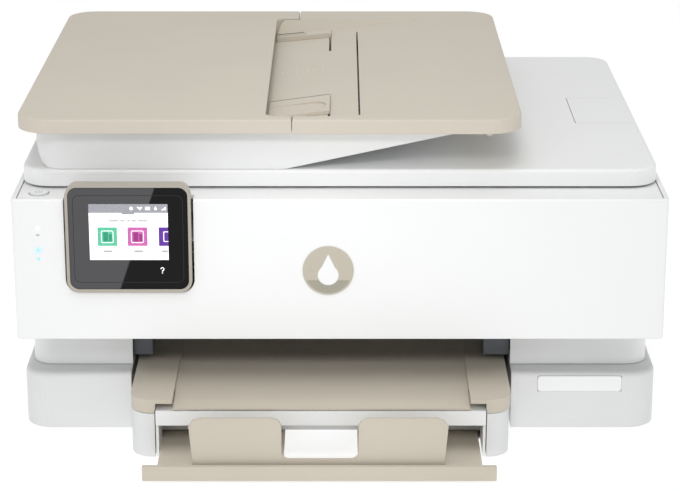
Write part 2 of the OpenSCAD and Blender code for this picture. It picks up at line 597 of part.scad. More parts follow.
module adf_input_tray() pf() color(beige) difference() {
  union() {
    soft_slab(-33.5, 128.5, 17, 378, 223.6, total_h, [0.2, adf_r, adf_r - 2, 0.2], 1.6);
    xz(33.2, 346.6, [[-54, 223.6], [80, 223.7], [80, 223.6], [60, 223.6], [-20, 219.3], [-54, 219.3]]);
    intersection() {
      slab(-52.1, 80, 27.4, 346.6, 223.5, 233.9, [7.6, 0.1, 0.1, 7.6]);
      xz(27, 347, [[-53, 223.6], [80, 223.6], [80, 240], [-53, 240]]);
    }
    // nub below the tray
    cz(221, 224, 105, 24, 2.4);
  }
  // sloping recess for the documents
  hull() {
    xz(34, 340, [[-60, 221.3], [recess_x1, total_h], [recess_x1, 240], [-60, 240]]);
    xz(27, 347, [[-60, total_h + 0.01], [recess_x1, total_h + 0.01], [recess_x1, 240], [-60, 240]]);
  }
  // long slot and the slots under the guides
  hull() { cz(215, 250, 13.9, 53, 0.6); cz(215, 250, 13.9, 323, 0.6); }
  bx(-8.7, -7.1, 57, 121.5, 215, 240);
  bx(-8.7, -7.1, 262, 336, 215, 240);
}
module adf_cover() pf() color(beige) {
  difference() {
    soft_slab(-228, -34, 17, 378, 223.9, total_h, [adf_r, 0.2, 0.2, adf_r - 2], 1.6);
    slab(-226, -20, 19, 376, 220, 231.4, [adf_r - 2, 0, 0, adf_r - 4]);
    hull() { slab(recess_x0, 0, 27, 347, 220, 240, [8, 0, 0, 8]); }
  }
  // short walls round the corners of the recess
  difference() {
    slab(recess_x0 - 1.6, -34, 25.4, 348.6, 223.9, 232, [9.6, 0, 0, 9.6]);
    slab(recess_x0, 0, 27, 347, 220, 240, [8, 0, 0, 8]);
    bx(-60, -30, 44, 330, 220, 240);
  }
  // end ribs with the hinge pins
  difference() {
    for (y = [34, 46, 351, 363]) bx(-226.2, -216, y, y + 4, 224.4, 231.6);
    translate([0, 0, 0]) bx(-230, -226.1, 0, 400, 200, 240);
  }
  for (y = [35, 352]) cy(y, y + 14, cov_x, cov_z, 1.5);
}
function fl(x) = 221.3 + (x + 60) * (total_h - 221.3) / (recess_x1 + 60);
// Strip that follows the recess floor, from a to b above it
module on_floor(x0, x1, y0, y1, a, b)
  xz(y0, y1, [[x0, fl(x0) + a], [x1, fl(x1) + a], [x1, fl(x1) + b], [x0, fl(x0) + b]]);
module adf_guides_front() pf() color(beige) difference() {
  union() {
    xz(62, 112, [[-52, fl(-52) + 0.1], [-7.3, fl(-7.3) + 0.1], [-7.3, fl(-7.3) + 2.9], [-52, fl(-52) + 1.1]]);
    bx(-8.5, -7.3, 69, 81, 214, 227);
    bx(-12.5, -7.3, 69, 81, 212, 215);
    bx(-12.5, -9.5, 69, 185, 212, 215);
  }
  // finger scoop
  intersection() {
    xz(60, 120, [[-60, fl(-60) + 0.7], [0, fl(0) + 1.4], [0, 240], [-60, 240]]);
    slab(-62, -10.5, 63, 93, 200, 250, [0.1, 12, 10, 0.1]);
  }
}
module adf_guides_rear() pf() color(beige) difference() {
  union() {
    intersection() {
      on_floor(-52, -7.3, 311, 329, 0.1, 2.7);
      slab(-53, -7.3, 311, 329, 200, 250, [0.1, 0.1, 7, 0.1]);
    }
    on_floor(-52, -8.5, 311, 312.6, 2.6, 3.7);
    on_floor(-52, -28, 319.2, 326.4, 2.6, 3.7);
    bx(-8.5, -7.3, 311, 321, 214, 227);
    bx(-8.5, -3.3, 311, 321, 212, 215);
    bx(-6.3, -3.3, 210, 321, 212, 215);
  }
  on_floor(-60, -29.6, 321.4, 324.2, 1, 12);
}
module adf_feed_roller() pf() {
  color(steel) cy(160, 240, -100, 213, 2.5);
  color(rubber) cy(172, 228, -100, 213, 9);
}
module adf_pick_roller() pf() {
  color(steel) cy(160, 240, -66, 215, 2);
  color(rubber) cy(180, 220, -66, 215, 7);
}

base_housing();
body_shell();
label_plate();
rubber_feet();
chassis_frame();
carriage_rails();
platen();
exit_bracket();
service_station();
feed_motor();
carriage_motor();
power_supply();
main_board();
power_inlet();
transfer_belt();
carriage_belt();
carriage();
black_cartridge();
colour_cartridge();
black_latch();
colour_latch();
motor_pulley();
idler_pulley();
feed_pinion();
feed_gear();
feed_roller();
output_roller();
pinch_rollers();
star_wheels();
pick_arm();
pick_roller();
paper_tray();
tray_front();
output_bed();
width_guide_left();
width_guide_right();
length_guide();
output_extender();
output_stop();
front_panel();
scanner_housing();
badge();
status_lights();
scanner_glass();
scan_rod();
scan_bar();
display_bezel();
display_glass();
power_button();
lid();
platen_pad();
lid_hinge_pins();
lid_flap();
adf_housing();
adf_input_tray();
adf_cover();
adf_guides_front();
adf_guides_rear();
adf_feed_roller();
adf_pick_roller();
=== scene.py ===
import bpy, bmesh, math
from mathutils import Vector, Matrix


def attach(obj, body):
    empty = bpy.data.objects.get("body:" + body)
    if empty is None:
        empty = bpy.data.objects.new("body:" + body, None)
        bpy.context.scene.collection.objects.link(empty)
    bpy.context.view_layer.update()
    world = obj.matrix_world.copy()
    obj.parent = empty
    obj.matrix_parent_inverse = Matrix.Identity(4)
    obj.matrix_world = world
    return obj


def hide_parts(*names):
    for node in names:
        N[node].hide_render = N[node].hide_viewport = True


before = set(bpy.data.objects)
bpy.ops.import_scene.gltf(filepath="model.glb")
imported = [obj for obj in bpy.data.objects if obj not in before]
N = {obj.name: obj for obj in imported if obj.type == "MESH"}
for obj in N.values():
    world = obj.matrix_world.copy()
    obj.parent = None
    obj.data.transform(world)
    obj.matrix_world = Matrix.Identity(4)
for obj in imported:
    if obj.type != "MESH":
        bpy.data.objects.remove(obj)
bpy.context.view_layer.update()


def P(x, y, z):
    """Design millimetres (front panel at y = 0) to metres in the row frame."""
    return Vector((x / 1000.0, (y - 152.0) / 1000.0, z / 1000.0))


# ---------------------------------------------------------------- camera
cam_d = bpy.data.cameras.new("cam")
cam = bpy.data.objects.new("cam", cam_d)
bpy.context.scene.collection.objects.link(cam)
cam.location = P(0, -1507.4, 637.4)
cam.rotation_euler = (math.radians(90 - 18.009), 0, 0)
cam_d.sensor_width = 36.0
cam_d.lens = 2257.0 / 680.0 * 36.0
cam_d.clip_end = 50
bpy.context.scene.camera = cam
bpy.context.scene.view_settings.view_transform = "Standard"

# ---------------------------------------------------------------- materials
MATS = {}


def ramp(nt, fac, c0, c1, p0=0.3, p1=0.7):
    r = nt.nodes.new("ShaderNodeValToRGB")
    r.color_ramp.elements[0].position = p0
    r.color_ramp.elements[1].position = p1
    r.color_ramp.elements[0].color = (*c0, 1)
    r.color_ramp.elements[1].color = (*c1, 1)
    nt.links.new(fac, r.inputs[0])
    return r.outputs[0]


def noise(nt, scale, detail=3.0, rough=0.5, vec=None):
    n = nt.nodes.new("ShaderNodeTexNoise")
    n.inputs["Scale"].default_value = scale
    n.inputs["Detail"].default_value = detail
    n.inputs["Roughness"].default_value = rough
    if vec is None:
        t = nt.nodes.new("ShaderNodeTexCoord")
        vec = t.outputs["Object"]
    nt.links.new(vec, n.inputs["Vector"])
    return n.outputs["Fac"]


def srgb(h):
    h = h.lstrip("#")
    v = [int(h[i:i + 2], 16) / 255 for i in (0, 2, 4)]
    return tuple(c / 12.92 if c <= 0.04045 else ((c + 0.055) / 1.055) ** 2.4 for c in v)


def plastic(name, col, rough=0.45, grain=2600.0, bump=0.12, dist=0.00006, var=0.03,
            spec=0.5, bevel=0.0006, coat=0.0, metallic=0.0, sss=0.0, spread=0.08):
    """Moulded plastic: spark-eroded grain, slow tone variation, softened edges."""
    if name in MATS:
        return MATS[name]
    m = bpy.data.materials.new(name)
    m.use_nodes = True
    nt = m.node_tree
    b = nt.nodes["Principled BSDF"]
    b.inputs["IOR"].default_value = 1.46
    b.inputs["Specular IOR Level"].default_value = spec
    b.inputs["Metallic"].default_value = metallic
    b.inputs["Coat Weight"].default_value = coat
    b.inputs["Coat Roughness"].default_value = 0.12
    lo = tuple(max(0.0, c * (1 - var)) for c in col)
    hi = tuple(min(1.0, c * (1 + var * 0.6)) for c in col)
    big = noise(nt, 9.0, 4.0, 0.6)
    nt.links.new(ramp(nt, big, lo, hi), b.inputs["Base Color"])
    mid = noise(nt, 160.0, 3.0, 0.6)
    mr = nt.nodes.new("ShaderNodeMapRange")
    mr.inputs["To Min"].default_value = max(0.02, rough - spread)
    mr.inputs["To Max"].default_value = min(1.0, rough + spread)
    nt.links.new(mid, mr.inputs["Value"])
    nt.links.new(mr.outputs["Result"], b.inputs["Roughness"])
    fine = noise(nt, grain, 2.0, 0.5)
    bp = nt.nodes.new("ShaderNodeBump")
    bp.inputs["Strength"].default_value = bump
    bp.inputs["Distance"].default_value = dist
    nt.links.new(fine, bp.inputs["Height"])
    if bevel > 0:
        bv = nt.nodes.new("ShaderNodeBevel")
        bv.samples = 4
        bv.inputs["Radius"].default_value = bevel
        nt.links.new(bv.outputs["Normal"], bp.inputs["Normal"])
    nt.links.new(bp.outputs["Normal"], b.inputs["Normal"])
    MATS[name] = m
    return m


WHITE = plastic("white_gloss", srgb("#F6F7F7"), 0.34, 3200, 0.05, 0.00003, 0.008, 0.45)
# The next two whites are darker copies of the white: painted shade for the base housing and the paper tray, which sit
# lower and further back in less light.
WHITE_BASE_SHADED = plastic("white_base_painted_shade", srgb("#E3E4E4"), 0.4, 2800, 0.06, 0.00003, 0.012, 0.42)
WHITE_TRAY_SHADED = plastic("white_tray_painted_shade", srgb("#E1E2E2"), 0.5, 1900, 0.14, 0.00006, 0.012, 0.4)
WHITE_T = plastic("white_textured", srgb("#F1F2F2"), 0.52, 1900, 0.16, 0.00006, 0.012, 0.4)
GREY_T = plastic("scanner_textured", srgb("#F3F4F4"), 0.6, 1300, 0.5, 0.00012, 0.02, 0.4)
BEIGE = plastic("beige_textured", srgb("#D3CBBD"), 0.55, 1700, 0.22, 0.00008, 0.02, 0.4)
BEIGE_D = plastic("beige_tray", srgb("#CBC3B4"), 0.5, 1700, 0.2, 0.00008, 0.025, 0.4)
BEIGE_S = plastic("beige_satin", srgb("#B4ADA1"), 0.33, 2400, 0.06, 0.00004, 0.02, 0.5)
DARK = plastic("dark_moulded", srgb("#6A6F75"), 0.5, 1500, 0.25, 0.00008, 0.06)
DARK2 = plastic("dark_frame", srgb("#2A2B2D"), 0.55, 1500, 0.25, 0.00008, 0.08)
BLACK = plastic("black_gloss", srgb("#0B0B0C"), 0.12, 2000, 0.02, 0.00002, 0.1, coat=0.5)
GREY = plastic("grey_moulded", srgb("#C9CBCC"), 0.45, 1800, 0.15, 0.00006, 0.03)
WHITE_N = plastic("natural_acetal", srgb("#E9E7E0"), 0.4, 1800, 0.1, 0.00005, 0.02)
FOAM = plastic("foam_sheet", srgb("#FAFAFA"), 0.85, 900, 0.5, 0.0002, 0.02, 0.2)


def steel_mat():
    m = bpy.data.materials.new("plated_steel")
    m.use_nodes = True
    nt = m.node_tree
    b = nt.nodes["Principled BSDF"]
    b.inputs["Metallic"].default_value = 1.0
    t = nt.nodes.new("ShaderNodeTexCoord")
    mp = nt.nodes.new("ShaderNodeMapping")
    mp.inputs["Scale"].default_value = (8, 900, 900)
    nt.links.new(t.outputs["Object"], mp.inputs["Vector"])
    n = noise(nt, 1.5, 3, 0.6, mp.outputs["Vector"])
    nt.links.new(ramp(nt, n, (0.42, 0.43, 0.44), (0.62, 0.62, 0.63)), b.inputs["Base Color"])
    mr = nt.nodes.new("ShaderNodeMapRange")
    mr.inputs["To Min"].default_value = 0.22
    mr.inputs["To Max"].default_value = 0.42
    nt.links.new(n, mr.inputs["Value"])
    nt.links.new(mr.outputs["Result"], b.inputs["Roughness"])
    bp = nt.nodes.new("ShaderNodeBump")
    bp.inputs["Strength"].default_value = 0.15
    bp.inputs["Distance"].default_value = 0.00003
    nt.links.new(n, bp.inputs["Height"])
    nt.links.new(bp.outputs["Normal"], b.inputs["Normal"])
    return m


STEEL = steel_mat()
RUBBER = plastic("rubber_black", srgb("#1E1E1E"), 0.8, 2600, 0.5, 0.00015, 0.15, 0.3, bevel=0.0003)


def board_mat():
    m = bpy.data.materials.new("circuit_board")
    m.use_nodes = True
    nt = m.node_tree
    b = nt.nodes["Principled BSDF"]
    t = nt.nodes.new("ShaderNodeTexCoord")
    v = nt.nodes.new("ShaderNodeTexVoronoi")
    v.distance = "MANHATTAN"
    v.inputs["Scale"].default_value = 140
    nt.links.new(t.outputs["Object"], v.inputs["Vector"])
    nt.links.new(ramp(nt, v.outputs["Distance"], (0.012, 0.11, 0.05), (0.03, 0.2, 0.09), 0.45, 0.55), b.inputs["Base Color"])
    n = noise(nt, 400, 2)
    mr = nt.nodes.new("ShaderNodeMapRange")
    mr.inputs["To Min"].default_value = 0.25
    mr.inputs["To Max"].default_value = 0.4
    nt.links.new(n, mr.inputs["Value"])
    nt.links.new(mr.outputs["Result"], b.inputs["Roughness"])
    bp = nt.nodes.new("ShaderNodeBump")
    bp.inputs["Strength"].default_value = 0.3
    bp.inputs["Distance"].default_value = 0.00004
    nt.links.new(v.outputs["Distance"], bp.inputs["Height"])
    nt.links.new(bp.outputs["Normal"], b.inputs["Normal"])
    return m


BOARD = board_mat()


def glass_mat():
    m = bpy.data.materials.new("scanner_glass")
    m.use_nodes = True
    nt = m.node_tree
    b = nt.nodes["Principled BSDF"]
    b.inputs["IOR"].default_value = 1.5
    b.inputs["Alpha"].default_value = 0.35
    n = noise(nt, 14, 3)
    nt.links.new(ramp(nt, n, (0.50, 0.60, 0.59), (0.58, 0.68, 0.66)), b.inputs["Base Color"])
    mr = nt.nodes.new("ShaderNodeMapRange")
    mr.inputs["To Min"].default_value = 0.03
    mr.inputs["To Max"].default_value = 0.09
    nt.links.new(noise(nt, 60, 3), mr.inputs["Value"])
    nt.links.new(mr.outputs["Result"], b.inputs["Roughness"])
    return m


GLASS = glass_mat()


def panel_glass():
    """Black display glass: a painted reflection, its base colour split along a diagonal into a lighter grey and a
    near-black zone; faint dust in the roughness.
    """
    m = bpy.data.materials.new("display_glass")
    m.use_nodes = True
    nt = m.node_tree
    b = nt.nodes["Principled BSDF"]
    b.inputs["IOR"].default_value = 1.5
    b.inputs["Specular IOR Level"].default_value = 0.14
    t = nt.nodes.new("ShaderNodeTexCoord")
    sx = nt.nodes.new("ShaderNodeSeparateXYZ")
    nt.links.new(t.outputs["Object"], sx.inputs[0])
    a = nt.nodes.new("ShaderNodeMath"); a.operation = "MULTIPLY_ADD"
    a.inputs[1].default_value = -0.345
    nt.links.new(sx.outputs["Z"], a.inputs[0])
    nt.links.new(sx.outputs["X"], a.inputs[2])
    off = nt.nodes.new("ShaderNodeMath"); off.operation = "ADD"
    off.inputs[1].default_value = 0.1949
    nt.links.new(a.outputs[0], off.inputs[0])
    mr = nt.nodes.new("ShaderNodeMapRange")
    mr.inputs["From Min"].default_value = -0.0006
    mr.inputs["From Max"].default_value = 0.0006
    nt.links.new(off.outputs[0], mr.inputs["Value"])
    # painted reflection: the lighter grey side of the diagonal stands in for a reflection on the glass
    nt.links.new(ramp(nt, mr.outputs["Result"], srgb("#545456"), srgb("#111112"), 0.0, 1.0), b.inputs["Base Color"])
    m2 = nt.nodes.new("ShaderNodeMapRange")
    m2.inputs["To Min"].default_value = 0.05
    m2.inputs["To Max"].default_value = 0.14
    nt.links.new(noise(nt, 300, 4), m2.inputs["Value"])
    nt.links.new(m2.outputs["Result"], b.inputs["Roughness"])
    bv = nt.nodes.new("ShaderNodeBevel")
    bv.samples = 4
    bv.inputs["Radius"].default_value = 0.0008
    nt.links.new(bv.outputs["Normal"], b.inputs["Normal"])
    return m


PANEL_GLASS = panel_glass()


def lit(name, c0, c1, glow=0.35, scale=700):
    """A back-lit patch of the display: fine pixel grain in its colour."""
    m = bpy.data.materials.new(name)
    m.use_nodes = True
    nt = m.node_tree
    b = nt.nodes["Principled BSDF"]
    b.inputs["Specular IOR Level"].default_value = 0.2
    n = noise(nt, scale, 2)
    c = ramp(nt, n, c0, c1, 0.2, 0.8)
    nt.links.new(c, b.inputs["Base Color"])
    nt.links.new(c, b.inputs["Emission Color"])
    b.inputs["Emission Strength"].default_value = glow
    mr = nt.nodes.new("ShaderNodeMapRange")
    mr.inputs["To Min"].default_value = 0.25
    mr.inputs["To Max"].default_value = 0.4
    nt.links.new(noise(nt, 500, 2), mr.inputs["Value"])
    nt.links.new(mr.outputs["Result"], b.inputs["Roughness"])
    return m


# ---------------------------------------------------------------- mesh helpers
def finish_mesh(name, bm, mat, body, slot=None, smooth=True, angle=35):
    bmesh.ops.recalc_face_normals(bm, faces=bm.faces)
    me = bpy.data.meshes.new(name)
    bm.to_mesh(me)
    bm.free()
    o = bpy.data.objects.new(name, me)
    bpy.context.scene.collection.objects.link(o)
    me.materials.append(mat)
    if smooth:
        for p in me.polygons:
            p.use_smooth = True
        me.set_sharp_from_angle(angle=math.radians(angle))
    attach(o, body)
    return o


def rrect(x0, x1, y0, y1, r, n=8):
    """Outline of a rounded rectangle, counter-clockwise; r is one radius or four (fl, fr, rr, rl)."""
    if not isinstance(r, (list, tuple)):
        r = [r] * 4
    out = []
    for (cx, cy, sx, sy, a0, q) in ((x0, y0, 1, 1, 180, r[0]), (x1, y0, -1, 1, 270, r[1]),
                                    (x1, y1, -1, -1, 0, r[2]), (x0, y1, 1, -1, 90, r[3])):
        if q <= 0:
            out.append((cx, cy))
            continue
        for i in range(n + 1):
            a = math.radians(a0 + 90 * i / n)
            out.append((cx + sx * q + q * math.cos(a), cy + sy * q + q * math.sin(a)))
    return out


def circ(cx, cy, r, n=40):
    return [(cx + r * math.cos(2 * math.pi * i / n), cy + r * math.sin(2 * math.pi * i / n)) for i in range(n)]


def prism(bm, pts, plane, a, b, bev=0.0, seg=3, which="both"):
    """Closed prism on an outline. plane 'xy': extruded in z; 'xz': in y; 'yz': in x. Units mm, design frame."""
    def at(p, t):
        if plane == "xy":
            return P(p[0], p[1], t)
        if plane == "xz":
            return P(p[0], t, p[1])
        return P(t, p[0], p[1])
    lo = [bm.verts.new(at(p, a)) for p in pts]
    hi = [bm.verts.new(at(p, b)) for p in pts]
    n = len(pts)
    f0 = bm.faces.new(list(reversed(lo)))
    f1 = bm.faces.new(hi)
    for i in range(n):
        bm.faces.new((lo[i], lo[(i + 1) % n], hi[(i + 1) % n], hi[i]))
    if bev > 0:
        ed = []
        if which in ("both", "hi"):
            ed += list(f1.edges)
        if which in ("both", "lo"):
            ed += list(f0.edges)
        bmesh.ops.bevel(bm, geom=ed, offset=bev / 1000.0, segments=seg, affect="EDGES", profile=0.5, clamp_overlap=True)
    return bm


def piece(name, parts, mat, body, slot=None, **k):
    bm = bmesh.new()
    for p in parts:
        prism(bm, *p[0], **(p[1] if len(p) > 1 else {}))
    return finish_mesh(name, bm, mat, body, slot, **k)


# ---------------------------------------------------------------- CAD nodes' materials
FIN = dict(
    base_housing=WHITE_BASE_SHADED, body_shell=WHITE, label_plate=WHITE, rubber_feet=RUBBER, chassis_frame=DARK, carriage_rails=STEEL,
    platen=DARK2, exit_bracket=DARK2, service_station=DARK2, feed_motor=STEEL, carriage_motor=STEEL, power_supply=DARK2,
    main_board=BOARD, power_inlet=DARK2, transfer_belt=RUBBER, carriage_belt=RUBBER, carriage=DARK2, black_cartridge=BLACK,
    colour_cartridge=DARK2, black_latch=GREY, colour_latch=GREY, motor_pulley=GREY, idler_pulley=GREY, feed_pinion=WHITE_N,
    feed_gear=WHITE_N, feed_roller=RUBBER, output_roller=RUBBER, pinch_rollers=GREY, star_wheels=STEEL, pick_arm=DARK2,
    pick_roller=RUBBER, paper_tray=WHITE_TRAY_SHADED, tray_front=WHITE_T, output_bed=BEIGE_D, width_guide_left=BEIGE, width_guide_right=BEIGE,
    length_guide=BEIGE, output_extender=BEIGE_D, output_stop=BEIGE_D, front_panel=WHITE, scanner_housing=GREY_T, badge=BEIGE_S,
    status_lights=WHITE, scanner_glass=GLASS, scan_rod=STEEL, scan_bar=DARK2, display_bezel=BEIGE_S, display_glass=PANEL_GLASS,
    power_button=WHITE_T, lid=WHITE, platen_pad=FOAM, lid_hinge_pins=STEEL, lid_flap=WHITE, adf_housing=WHITE_T,
    adf_input_tray=BEIGE, adf_cover=BEIGE, adf_guides_front=BEIGE, adf_guides_rear=BEIGE, adf_feed_roller=RUBBER, adf_pick_roller=RUBBER)
for n, o in N.items():
    o.data.materials.clear()
    o.data.materials.append(FIN[n])

# ---------------------------------------------------------------- display contents
def ui(name, pts, mat, lift=0.0, thick=0.03, slot="black_gloss"):
    y1 = -3.62 - lift
    return piece(name, [((pts, "xz", y1 - thick, y1),)], mat, "display", slot, smooth=False)


S_W = lit("screen_white", (0.93, 0.94, 0.96), (1.0, 1.0, 1.0), 0.55)
S_G = lit("screen_grey", srgb("#8E8E95"), srgb("#A2A2A9"), 0.3)
S_LG = lit("screen_pale", srgb("#A9A9AE"), srgb("#BDBDC2"), 0.12)
S_GR = lit("tile_green", srgb("#4FAE8C"), srgb("#6CC6A4"), 0.3)
S_GD = lit("tile_green_dark", srgb("#2E8A6A"), srgb("#3C9678"), 0.3)
S_MA = lit("tile_magenta", srgb("#B5559A"), srgb("#CB74B2"), 0.3)
S_MD = lit("tile_magenta_dark", srgb("#8A2F72"), srgb("#9C4084"), 0.3)
S_PU = lit("tile_purple", srgb("#52288A"), srgb("#6B3FA2"), 0.3)
S_IC = lit("icon_white", (0.85, 0.88, 0.88), (1, 1, 1), 0.5)
S_LN = plastic("glass_line", srgb("#1B1B1C"), 0.2, 2000, 0.02, 0.00002, 0.05, bevel=0)

sx0, sx1, sz0, sz1 = -175.4, -120.2, 137.9, 178.8
ui("screen_back", rrect(sx0, sx1, sz0, sz1, 0.4, 3), S_W)
ui("screen_bar", rrect(sx0, sx1, sz1 - 6.4, sz1, 0.3, 3), S_G, 0.04)
ui("screen_bar_tab", rrect(-152.4, -143.4, sz1 - 7.5, sz1 - 6.0, 0.7, 4), S_G, 0.08)


def frame_pts(name, x0, x1, z0, z1, r, w, mat, lift, cutx=None):
    """Thin outline frame as one closed ring."""
    o = rrect(x0, x1, z0, z1, r, 4)
    i = rrect(x0 + w, x1 - w, z0 + w, z1 - w, max(0.05, r - w), 4)
    bm = bmesh.new()
    y1 = -3.62 - lift
    rings = []
    for y in (y1 - 0.03, y1):
        rings.append(([bm.verts.new(P(a, y, b)) for a, b in o], [bm.verts.new(P(a, y, b)) for a, b in i]))
    n = len(o)
    (o0, i0), (o1, i1) = rings
    for k in range(n):
        j = (k + 1) % n
        bm.faces.new((o0[k], o0[j], i0[j], i0[k]))
        bm.faces.new((o1[k], i1[k], i1[j], o1[j]))
        bm.faces.new((o0[k], o1[k], o1[j], o0[j]))
        bm.faces.new((i0[k], i0[j], i1[j], i1[k]))
    return finish_mesh(name, bm, mat, "display", "black_gloss", smooth=False)


# status icons: plain generic marks
for k, (cx, kind) in enumerate(((-145.6, "gear"), (-139.6, "wave"), (-134.2, "tray"), (-128.6, "drop"), (-123.2, "level"))):
    z = sz1 - 3.1
    if kind == "gear":
        pts = [(cx + (1.5 if i % 2 else 1.05) * math.cos(math.radians(i * 22.5)), z + (1.5 if i % 2 else 1.05) * math.sin(math.radians(i * 22.5))) for i in range(16)]
    elif kind == "wave":
        pts = [(cx, z - 1.4), (cx + 0.5, z - 0.8), (cx + 2.0, z + 0.9), (cx + 1.5, z + 1.3), (cx, z + 0.6), (cx - 1.5, z + 1.3), (cx - 2.0, z + 0.9), (cx - 0.5, z - 0.8)]
    elif kind == "tray":
        pts = rrect(cx - 1.7, cx + 1.7, z - 1.2, z + 1.2, 0.4, 3)
    elif kind == "drop":
        pts = [(cx, z + 1.6), (cx + 1.0, z - 0.1), (cx + 0.8, z - 1.0), (cx, z - 1.4), (cx - 0.8, z - 1.0), (cx - 1.0, z - 0.1)]
    else:
        pts = [(cx - 1.8, z - 1.3), (cx + 1.8, z - 1.3), (cx + 1.8, z + 1.3)]
    ui("status_icon_%d" % k, pts, S_IC, 0.08)
# time bar as plain dashes
for k, (a, b) in enumerate(((-161.5, -154.6), (-153.6, -150.4), (-148.8, -146.4), (-145.6, -142.2), (-141.0, -134.2))):
    ui("time_dash_%d" % k, rrect(a, b, 166.1, 167.2, 0.3, 2), S_LG, 0.04)


def tile(k, x0, x1, z0, z1, mat, mat2, cut=None):
    r = 0.6
    xe = x1 if cut is None else cut
    ui("tile_%d" % k, rrect(x0, xe, z0, z1, r if cut is None else [r, 0, 0, r], 4), mat, 0.04)
    if cut is None:
        frame_pts("tile_frame_%d" % k, x0 + 2.4, x1 - 2.6, z0 + 2.2, z1 - 2.4, 1.2, 0.5, S_IC, 0.08)
        ui("tile_page_%d" % k, rrect(x0 + 4.0, x1 - 6.4, z0 + 3.4, z1 - 3.6, 0.5, 3), mat2, 0.08)
        ui("tile_page2_%d" % k, rrect(x1 - 5.8, x1 - 3.8, z0 + 3.4, z1 - 4.8, 0.4, 3), mat2, 0.08)
    else:
        ui("tile_page_%d" % k, rrect(x0 + 3.2, cut, z0 + 3.0, z1 - 3.0, [0.8, 0, 0, 0.8], 3), S_IC, 0.08)
        ui("tile_page2_%d" % k, rrect(x0 + 3.8, cut, z0 + 3.6, z1 - 3.6, [0.6, 0, 0, 0.6], 3), mat2, 0.12)


tile(0, -169.6, -155.9, 148.2, 161.9, S_GR, S_GD)
tile(1, -148.6, -134.7, 148.2, 161.9, S_MA, S_MD)
tile(2, -126.8, -112.0, 148.2, 161.9, S_PU, S_PU, cut=sx1)
for k, (a, b) in enumerate(((-165.8, -159.4), (-144.4, -138.0), (-125.0, -120.6))):
    ui("tile_label_%d" % k, rrect(a, b, 143.6, 145.0, 0.4, 2), S_LG, 0.04)

# question mark key: hook and dot
hook = []
c0x, c0z, ro, ri = -124.8, 131.1, 1.35, 0.75
for i in range(15):
    a = math.radians(180 - i * 240 / 14)
    hook.append((c0x + ro * math.cos(a), c0z + ro * math.sin(a)))
hook += [(c0x + 0.32, c0z - 1.9), (c0x - 0.32, c0z - 1.9), (c0x - 0.3, c0z - 1.05)]
for i in range(14, -1, -1):
    a = math.radians(180 - i * 240 / 14)
    hook.append((c0x + ri * math.cos(a), c0z + ri * math.sin(a)))
ui("help_hook", hook, S_IC, 0.0)
ui("help_dot", circ(c0x, c0z - 2.9, 0.42, 16), S_IC, 0.0)
# faint dark lines near the top and bottom of the glass: painted shade standing in for the glass's inner bevel edge
frame_pts("glass_inner_line", -186.6, -109.6, 121.0, 185.2, 4.2, 0.35, S_LN, -0.0)

# ---------------------------------------------------------------- badge: generic ink drop in a ring
def on_panel(name, pts, mat, y0, y1, bev=0.1, slot="beige_plastic"):
    return piece(name, [((pts, "xz", y0, y1), dict(bev=bev, seg=2, which="lo"))], mat, "hood", slot)


BADGE_A = plastic("badge_beige", srgb("#C3BCAC"), 0.3, 2000, 0.05, 0.00003, 0.02, bevel=0)
BADGE_B = plastic("badge_olive", srgb("#A6A293"), 0.3, 2000, 0.05, 0.00003, 0.02, bevel=0)
b_ = on_panel("badge_face", circ(-8.3, 128.9, 18.0, 96), BADGE_A, -0.7, -0.05, 0.25)
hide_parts("badge")
drop = []
for i in range(61):
    a = math.radians(-230 + i * 280 / 60)
    drop.append((-8.3 + 7.4 * math.cos(a), 125.6 + 7.4 * math.sin(a)))
drop = drop + [(-8.3, 141.6)]
on_panel("badge_drop", drop, WHITE, -1.0, -0.65, 0.12)
half = [(-8.3 + 18 * math.cos(math.radians(a)) * 0.93, 128.9 + 18 * math.sin(math.radians(a)) * 0.93) for a in range(205, 336, 5)]
on_panel("badge_shade", half, BADGE_B, -0.74, -0.6, 0.0)

# ---------------------------------------------------------------- power button ring and symbol
PWR = plastic("button_print", srgb("#9FA2A4"), 0.4, 2000, 0.05, 0.00003, 0.03, bevel=0)


def ring(name, cx, cy, ro, ri, z0, z1, mat, body, a0=0.0, a1=360.0, n=48, slot="white_plastic"):
    bm = bmesh.new()
    closed = abs(a1 - a0) >= 360
    m = n if closed else n + 1
    v = []
    for i in range(m):
        a = math.radians(a0 + (a1 - a0) * i / n)
        v.append([bm.verts.new(P(cx + r * math.cos(a), cy + r * math.sin(a), z)) for r, z in ((ri, z0), (ro, z0), (ro, z1), (ri, z1))])
    for i in range(m if closed else m - 1):
        j = (i + 1) % m
        for k in range(4):
            l = (k + 1) % 4
            bm.faces.new((v[i][k], v[i][l], v[j][l], v[j][k]))
    if not closed:
        bm.faces.new(v[0]); bm.faces.new(list(reversed(v[-1])))
    return finish_mesh(name, bm, mat, body, slot)


ring("power_rim", -212.3, 17, 7.35, 6.85, 180.1, 180.9, GREY, "hood")
ring("power_symbol_arc", -212.3, 17, 2.6, 2.15, 181.55, 181.64, PWR, "power_button", 120, 420)
piece("power_symbol_bar", [((rrect(-212.55, -212.05, 17.2, 19.9, 0.2, 3), "xy", 181.55, 181.64),)], PWR, "power_button", "white_plastic", smooth=False)

